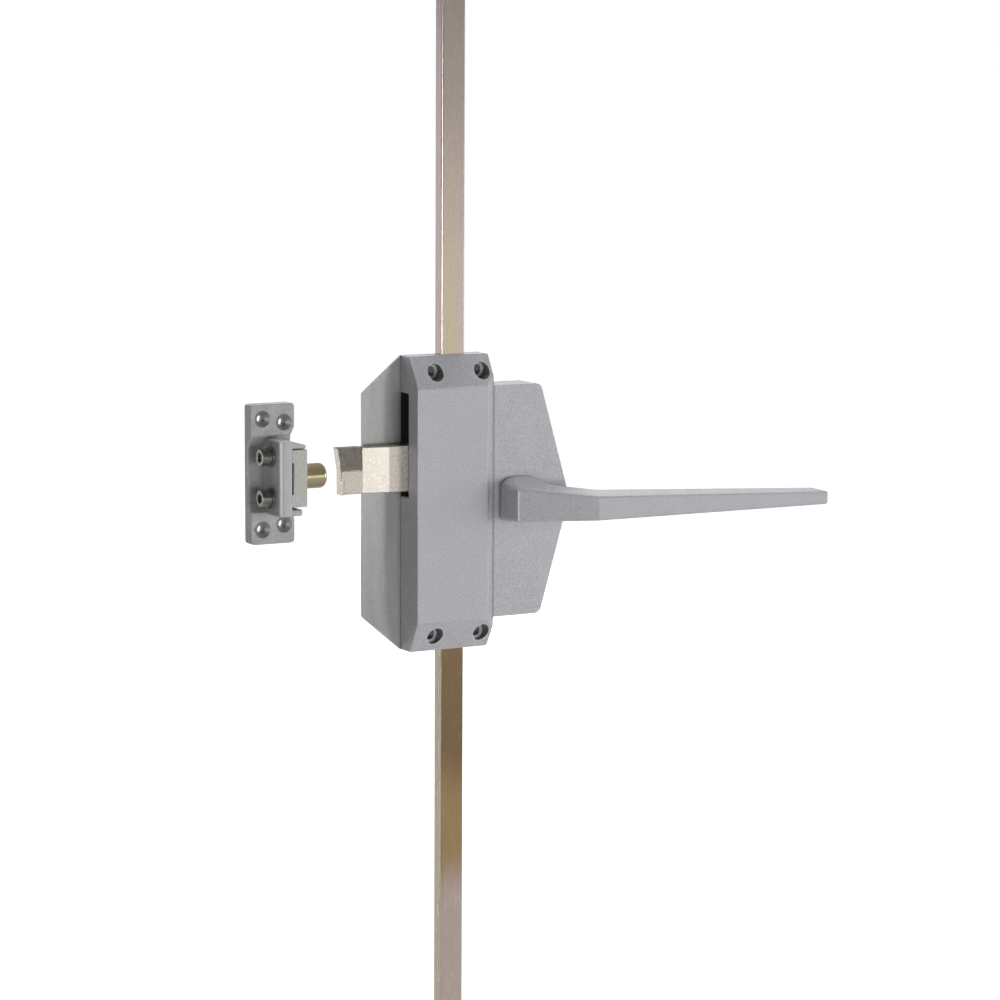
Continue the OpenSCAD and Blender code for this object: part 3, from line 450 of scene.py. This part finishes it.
# A modifier group that drops the loaded normals, weights the edges to be rounded and keeps the other sharp
# ones. An edge has weight 1 where it is sharp, folds outwards and lies in no quiet box, else 0
def edgeGroup(name, look):
    group = bpy.data.node_groups.new("edges " + name, "GeometryNodeTree")
    for way in ("INPUT", "OUTPUT"):
        group.interface.new_socket("Geometry", in_out=way, socket_type="NodeSocketGeometry")

    def node(kind, settings, *values, out=0):
        made = group.nodes.new(kind)
        for field, value in settings.items():
            setattr(made, field, value)
        for socket, value in zip(made.inputs, values):
            if isinstance(value, bpy.types.NodeSocket):
                group.links.new(value, socket)
            else:
                socket.default_value = value
        return made.outputs[out]

    def number(operation, *values):
        return node("ShaderNodeMath", {"operation": operation}, *values)

    def vector(operation, *values):
        return node("ShaderNodeVectorMath", {"operation": operation}, *values)

    angle, fold = (node("GeometryNodeInputMeshEdgeAngle", {}, out=k) for k in range(2))
    sharp = number("GREATER_THAN", angle, math.radians(look["limit"]))
    weight = number("MULTIPLY", sharp, number("GREATER_THAN", fold, 0.0))
    place = vector("ABSOLUTE", node("GeometryNodeInputPosition", {}))
    for middle, half in look["quiet"]:
        away = vector("ABSOLUTE", vector("SUBTRACT", place, [v * mm for v in middle]))
        share = vector("DIVIDE", away, [v * mm for v in half])
        x, y, z = (node("ShaderNodeSeparateXYZ", {}, share, out=k) for k in range(3))
        widest = number("MAXIMUM", x, number("MAXIMUM", y, z))
        weight = number("MULTIPLY", weight, number("GREATER_THAN", widest, 1.0))
    kept = number("SUBTRACT", sharp, weight)
    plain = node("GeometryNodeSetMeshNormal", {}, node("NodeGroupInput", {}), True, kept)
    stored = group.nodes.new("GeometryNodeStoreNamedAttribute")
    stored.data_type = "FLOAT"
    stored.domain = "EDGE"
    stored.inputs["Name"].default_value = "bevel_weight_edge"
    group.links.new(plain, stored.inputs["Geometry"])
    group.links.new(weight, stored.inputs["Value"])
    end = group.nodes.new("NodeGroupOutput")
    group.links.new(stored.outputs[0], end.inputs[0])
    return group


# Merges the loose triangles, joins the flat ones, then rounds the weighted edges
def roundEdges(name, look):
    node = nodes[name]
    weld = node.modifiers.new("weld", "WELD")
    weld.merge_threshold = roundLook["weldReach"]
    flat = node.modifiers.new("flat", "DECIMATE")
    flat.decimate_type = "DISSOLVE"
    flat.angle_limit = math.radians(roundLook["flatAngle"])
    node.modifiers.new("edges", "NODES").node_group = edgeGroup(name, look)
    bevel = node.modifiers.new("round", "BEVEL")
    bevel.width = look["width"] * mm
    bevel.segments = roundLook["segments"]
    bevel.limit_method = "WEIGHT"
    bevel.harden_normals = True
    bevel.use_clamp_overlap = False


for name, look in edgeRound.items():
    roundEdges(name, look)
print("edges rounded:", len(edgeRound))

# The return spring is drawn again, as a wound coil in place of the CAD spring
springLook = {"turns": 12, "wire": 0.0008, "deadRise": 0.00125, "perTurn": 24, "sides": 12,
              "joint": "lower_rod_slide"}


# A circle of wire is carried along a helix about Z. The helix rises by deadRise in its first and its last
# turn, and evenly between them
def coilSurface(look, low, high):
    turns, sides, dead = look["turns"], look["sides"], look["deadRise"]
    wireRadius = look["wire"] / 2
    coilRadius = (high[0] - low[0]) / 2 - wireRadius
    rise = high[2] - low[2] - look["wire"]
    turn = np.linspace(0.0, turns, turns * look["perTurn"] + 1)
    height = np.interp(turn, [0, 1, turns - 1, turns], [0, dead, rise - dead, rise])
    around = np.linspace(0.0, 2 * np.pi, sides, endpoint=False)
    angle = 2 * np.pi * turn[:, None]
    radius = coilRadius + wireRadius * np.cos(around)
    points = np.stack([(low[0] + high[0]) / 2 + radius * np.cos(angle),
                       (low[1] + high[1]) / 2 + radius * np.sin(angle),
                       low[2] + wireRadius + height[:, None] + wireRadius * np.sin(around)], axis=-1)
    grid = np.arange(points.shape[0] * sides).reshape(-1, sides)
    following = np.roll(grid, -1, axis=1)
    skin = np.stack([grid[:-1], grid[1:], following[1:], following[:-1]], axis=-1).reshape(-1, 4)
    ends = [grid[0].tolist(), grid[-1][::-1].tolist()]
    mesh = bpy.data.meshes.new("coil_spring")
    mesh.from_pydata(points.reshape(-1, 3).tolist(), [], skin.tolist() + ends)
    mesh.polygons.foreach_set("use_smooth", np.arange(len(mesh.polygons)) < len(skin))
    mesh.update()
    return mesh


springLow, springHigh = (np.array(corner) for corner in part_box("return_spring"))
springMesh = coilSurface(springLook, springLow, springHigh)
springMesh.materials.append(materials["gearSteel"])
spring = newObject("coil_spring", springMesh)
springJoint = next(j for j in frame["joints"] if j["name"] == springLook["joint"])
travel = max(abs(v) for v in springJoint["range_m"])
length = springHigh[2] - springLow[2]
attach(spring, "case")
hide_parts("return_spring")
1 - travel / length
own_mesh(spring)
print("spring wound:", len(springMesh.polygons), "faces, length", round(float(length), 4),
      "travel", round(travel, 4))

# Stage: a pale floor under the rods' tips, soft light and the photo's view
stageLook = {"floorDrop": 0.012, "floorSide": 8.0, "floorLight": rgb(0.47, 0.47, 0.47),
             "floorDark": rgb(0.43, 0.43, 0.43), "floorRough": 0.9, "mottle": 6.0,
             "glowSeen": rgb(1, 1, 1), "glowThrown": rgb(0.025, 0.025, 0.025), "ambient": 0.076}
floorZ = cadBox[0][2] - stageLook["floorDrop"]
side = stageLook["floorSide"]
corners = [(-side, -side, floorZ), (side, -side, floorZ), (side, side, floorZ), (-side, side, floorZ)]
floorMesh = bpy.data.meshes.new("floor")
floorMesh.from_pydata(corners, [], [(0, 1, 2, 3)])
floor = newObject("floor", floorMesh)


# Bright for the eye, dull for the light that it throws back
def paleFloor(start, place):
    look = stageLook
    mottle = evenGrain(place, look["mottle"])
    direct = start.node("LightPath")
    return {"Base Color": mottle.mix(look["floorDark"], look["floorLight"]),
            "Roughness": look["floorRough"],
            "Emission Color": direct.mix(look["glowThrown"], look["glowSeen"]),
            "Emission Strength": 1.0}


floorMesh.materials.append(finish("paleFloor", paleFloor))

world = bpy.data.worlds.new("studio")
bpy.context.scene.world = world
world.use_nodes = True
world.node_tree.nodes.clear()
sky = Wire(world.node_tree)
seen = sky.node("LightPath")
glow = seen * (1.0 - stageLook["ambient"]) + stageLook["ambient"]
backdrop = sky.node("Background", {}, {"Color": rgb(1, 1, 1), "Strength": glow})
sky.node("OutputWorld", {}, {"Surface": backdrop})

# Lamps light the paint; cards show only as reflections in the bright metal
lamps = {
    "keyRight": {"at": (1.25, -1.20, -0.25), "size": (2.0, 1.6), "watts": 27.6, "card": False},
    "frontFill": {"at": (0.05, -1.65, -0.15), "size": (0.3, 0.3), "watts": 5.0, "card": False},
    "topMiddle": {"at": (0.15, 0.0, 1.45), "size": (0.5, 0.15), "watts": 9.0, "card": False},
    "topBack": {"at": (0.15, 0.85, 1.15), "size": (1.0, 1.0), "watts": 31.0, "card": False},
    "frontCard": {"at": (0.80, -1.45, -0.06), "size": (0.6, 0.6), "watts": 1.2, "card": True},
    "squareCard": {"at": (0.16, -1.48, -0.10), "size": (0.22, 0.30), "watts": 1.05, "card": True},
    "leftCard": {"at": (-1.35, -0.85, -0.05), "size": (0.9, 0.6), "watts": 1.5, "card": True},
    "glintCard": {"at": (-1.36, -0.85, 0.03), "size": (0.35, 0.20), "watts": 12.0, "card": True},
    "rightCard": {"at": (1.55, -0.35, 0.0), "size": (0.8, 0.6), "watts": 4.5, "card": True},
    "backCard": {"at": (-0.9, 1.45, -0.2), "size": (1.0, 1.0), "watts": 3.9, "card": True},
}
for name, lamp in lamps.items():
    light = bpy.data.lights.new(name, "AREA")
    light.shape = "RECTANGLE"
    light.size, light.size_y = lamp["size"]
    light.energy = lamp["watts"]
    thing = newObject(name, light)
    thing.location = lamp["at"]
    thing.rotation_euler = (-Vector(lamp["at"])).to_track_quat("-Z", "Y").to_euler()  # aimed at the origin
    thing.visible_camera = False
    thing.visible_glossy = lamp["card"]
    thing.visible_diffuse = not lamp["card"]

view = {"azimuth": -28.96, "elevation": 7.63, "roll": 0.28, "distance": 1.6698,
        "target": (0.03228, 0.0, -0.00204), "focalPixels": 3291.7, "imagePixels": 1000.0, "sensor": 36.0,
        "clipStart": 0.05}
azimuth, elevation, roll = (math.radians(view[k]) for k in ("azimuth", "elevation", "roll"))
ahead = Vector((-math.sin(azimuth) * math.cos(elevation), math.cos(azimuth) * math.cos(elevation),
                -math.sin(elevation)))
right = Vector((math.cos(azimuth), math.sin(azimuth), 0.0))
up = right.cross(ahead)
rolledRight = math.cos(roll) * right + math.sin(roll) * up
rolledUp = math.cos(roll) * up - math.sin(roll) * right
lens = bpy.data.cameras.new("photoView")
lens.sensor_width = view["sensor"]
lens.lens = view["focalPixels"] / view["imagePixels"] * view["sensor"]
lens.clip_start = view["clipStart"]
camera = newObject("photoView", lens)
turned = Matrix((rolledRight, rolledUp, -ahead)).transposed().to_4x4()
camera.matrix_world = Matrix.Translation(Vector(view["target"]) - ahead * view["distance"]) @ turned
bpy.context.scene.camera = camera
bpy.context.scene.view_settings.view_transform = "Standard"
print("stage set")
